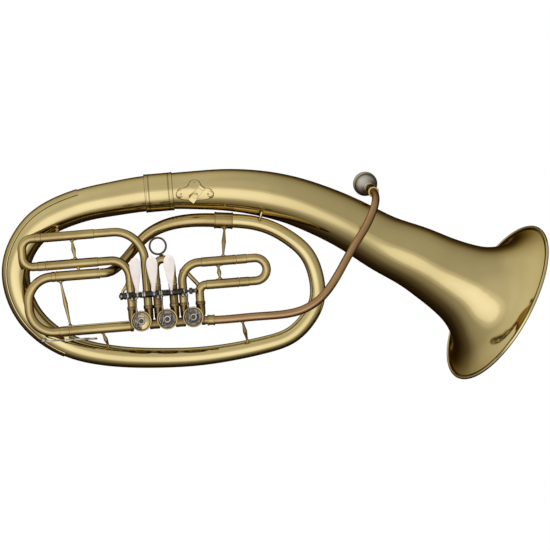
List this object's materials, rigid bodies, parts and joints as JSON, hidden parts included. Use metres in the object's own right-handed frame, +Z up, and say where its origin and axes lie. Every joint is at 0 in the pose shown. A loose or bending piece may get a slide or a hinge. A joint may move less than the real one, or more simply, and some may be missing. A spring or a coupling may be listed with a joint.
{
  "type": "oval rotary-valve tenor horn",
  "caption": "Oval brass horn of the tuba family with a flared bell, rotary valves worked by paddle levers, pull-out tuning slides, leadpipe and mouthpiece",
  "frame": {"origin": "centre of the thumb ring on the second valve's slide, in the plane of the valve tubing", "axes": "+X along the horn towards the bell, +Z up across the oval, +Y away from the valve linkage towards the mouthpiece"},
  "size_m": [0.8017, 0.3391, 0.3079],
  "materials": {
    "lacquered_brass": "polished yellow brass under clear lacquer",
    "rose_brass": "polished rose brass under clear lacquer",
    "nickel_silver": "polished nickel silver",
    "silver_plate": "silver plate, slightly dull",
    "gunmetal": "dark blued steel",
    "dark_bronze": "dark patinated bronze wire",
    "lever_white": "pale satin plate with a pinkish cast"
  },
  "bodies": {
    "horn": {"main_bow": "lacquered_brass", "bell": "lacquered_brass", "bell_ferrule": "lacquered_brass", "bow_guard": "lacquered_brass", "third_slide_upper_sleeve": "lacquered_brass", "third_slide_lower_sleeve": "lacquered_brass", "first_slide_upper_sleeve": "lacquered_brass", "first_slide_lower_sleeve": "lacquered_brass", "second_slide_left_sleeve": "lacquered_brass", "second_slide_right_sleeve": "lacquered_brass", "tuning_slide_upper_sleeve": "lacquered_brass", "tuning_slide_lower_sleeve": "lacquered_brass", "valve_link_3_2": "lacquered_brass", "valve_link_2_1": "lacquered_brass", "inner_branch": "lacquered_brass", "branch_ferrule": "lacquered_brass", "leadpipe_ferrule": "lacquered_brass", "mouthpiece_receiver": "lacquered_brass", "third_slide_brace": "lacquered_brass", "tuning_slide_brace": "lacquered_brass", "first_slide_brace": "lacquered_brass", "third_slide_bow_brace": "lacquered_brass", "tuning_slide_bow_brace": "lacquered_brass", "leadpipe_brace": "lacquered_brass", "first_slide_bow_brace": "lacquered_brass", "lyre_holder_plate": "lacquered_brass", "lyre_post": "lacquered_brass", "third_valve_casing": "lacquered_brass", "third_back_cap": "lacquered_brass", "third_front_plate": "nickel_silver", "second_valve_casing": "lacquered_brass", "second_back_cap": "lacquered_brass", "second_front_plate": "nickel_silver", "first_valve_casing": "lacquered_brass", "first_back_cap": "lacquered_brass", "first_front_plate": "nickel_silver", "leadpipe": "rose_brass", "hinge_rod": "gunmetal", "left_hinge_bracket": "gunmetal", "right_hinge_bracket": "gunmetal"},
    "third_valve_slide": {"third_valve_slide": "lacquered_brass"},
    "second_valve_slide": {"second_valve_slide": "lacquered_brass", "thumb_ring": "dark_bronze"},
    "first_valve_slide": {"first_valve_slide": "lacquered_brass"},
    "main_tuning_slide": {"main_tuning_slide": "lacquered_brass", "water_key_saddle": "lacquered_brass"},
    "water_key": {"water_key": "nickel_silver"},
    "mouthpiece": {"mouthpiece": "silver_plate"},
    "third_lever": {"third_lever": "lever_white"},
    "third_rotor": {"third_rotor": "lacquered_brass", "third_stop_arm": "nickel_silver"},
    "third_link": {"third_link": "nickel_silver"},
    "second_lever": {"second_lever": "lever_white"},
    "second_rotor": {"second_rotor": "lacquered_brass", "second_stop_arm": "nickel_silver"},
    "second_link": {"second_link": "nickel_silver"},
    "first_lever": {"first_lever": "lever_white"},
    "first_rotor": {"first_rotor": "lacquered_brass", "first_stop_arm": "nickel_silver"},
    "first_link": {"first_link": "nickel_silver"}
  },
  "joints": [
    {"name": "third_lever_hinge", "type": "hinge", "parent": "horn", "child": "third_lever", "pos_m": [-0.02955, -0.017, -0.072], "axis": [-0.9968, 0, -0.0802], "range_deg": [0, 27], "stiffness_Nm_per_rad": 0.15, "springref_deg": -28.65},
    {"name": "third_rotor_turn", "type": "hinge", "parent": "horn", "child": "third_rotor", "pos_m": [-0.02383, 0, -0.11006], "axis": [0, 1, 0], "range_deg": [0, 90]},
    {"name": "third_link_turn", "type": "hinge", "parent": "third_rotor", "child": "third_link", "pos_m": [-0.02901, -0.0212, -0.11615], "axis": [0, 1, 0], "range_deg": [-90, 0]},
    {"name": "second_lever_hinge", "type": "hinge", "parent": "horn", "child": "second_lever", "pos_m": [-0.00503, -0.017, -0.07002], "axis": [-0.9968, 0, -0.0802], "range_deg": [0, 27], "stiffness_Nm_per_rad": 0.15, "springref_deg": -28.65},
    {"name": "second_rotor_turn", "type": "hinge", "parent": "horn", "child": "second_rotor", "pos_m": [0.0142, 0, -0.107], "axis": [0, 1, 0], "range_deg": [0, 90]},
    {"name": "second_link_turn", "type": "hinge", "parent": "second_rotor", "child": "second_link", "pos_m": [0.00902, -0.0212, -0.11309], "axis": [0, 1, 0], "range_deg": [-90, 0]},
    {"name": "first_lever_hinge", "type": "hinge", "parent": "horn", "child": "first_lever", "pos_m": [0.02029, -0.017, -0.06799], "axis": [-0.9968, 0, -0.0802], "range_deg": [0, 27], "stiffness_Nm_per_rad": 0.15, "springref_deg": -28.65},
    {"name": "first_rotor_turn", "type": "hinge", "parent": "horn", "child": "first_rotor", "pos_m": [0.05223, 0, -0.10394], "axis": [0, 1, 0], "range_deg": [0, 90]},
    {"name": "first_link_turn", "type": "hinge", "parent": "first_rotor", "child": "first_link", "pos_m": [0.04704, -0.0212, -0.11003], "axis": [0, 1, 0], "range_deg": [-90, 0]},
    {"name": "third_slide_pull", "type": "slide", "parent": "horn", "child": "third_valve_slide", "axis": [-0.9968, 0, -0.0802], "range_m": [0, 0.04]},
    {"name": "second_slide_pull", "type": "slide", "parent": "horn", "child": "second_valve_slide", "axis": [-0.0802, 0, 0.9968], "range_m": [0, 0.018]},
    {"name": "first_slide_pull", "type": "slide", "parent": "horn", "child": "first_valve_slide", "axis": [0.9968, 0, 0.0802], "range_m": [0, 0.025]},
    {"name": "tuning_slide_pull", "type": "slide", "parent": "horn", "child": "main_tuning_slide", "axis": [-0.9968, 0, -0.0802], "range_m": [0, 0.03]},
    {"name": "mouthpiece_pull", "type": "slide", "parent": "horn", "child": "mouthpiece", "axis": [-0.1485, 0.978, 0.1464], "range_m": [0, 0.03]},
    {"name": "water_key_hinge", "type": "hinge", "parent": "main_tuning_slide", "child": "water_key", "pos_m": [-0.13324, 0, -0.13732], "axis": [0, -1, 0], "range_deg": [0, 4.5], "stiffness_Nm_per_rad": 0.05, "springref_deg": -11.46}
  ],
  "couplings": [
    {"joint": "third_rotor_turn", "follows": "third_lever_hinge", "ratio": 3.3333},
    {"joint": "third_link_turn", "follows": "third_lever_hinge", "ratio": -3.3333},
    {"joint": "second_rotor_turn", "follows": "second_lever_hinge", "ratio": 3.3333},
    {"joint": "second_link_turn", "follows": "second_lever_hinge", "ratio": -3.3333},
    {"joint": "first_rotor_turn", "follows": "first_lever_hinge", "ratio": 3.3333},
    {"joint": "first_link_turn", "follows": "first_lever_hinge", "ratio": -3.3333}
  ]
}
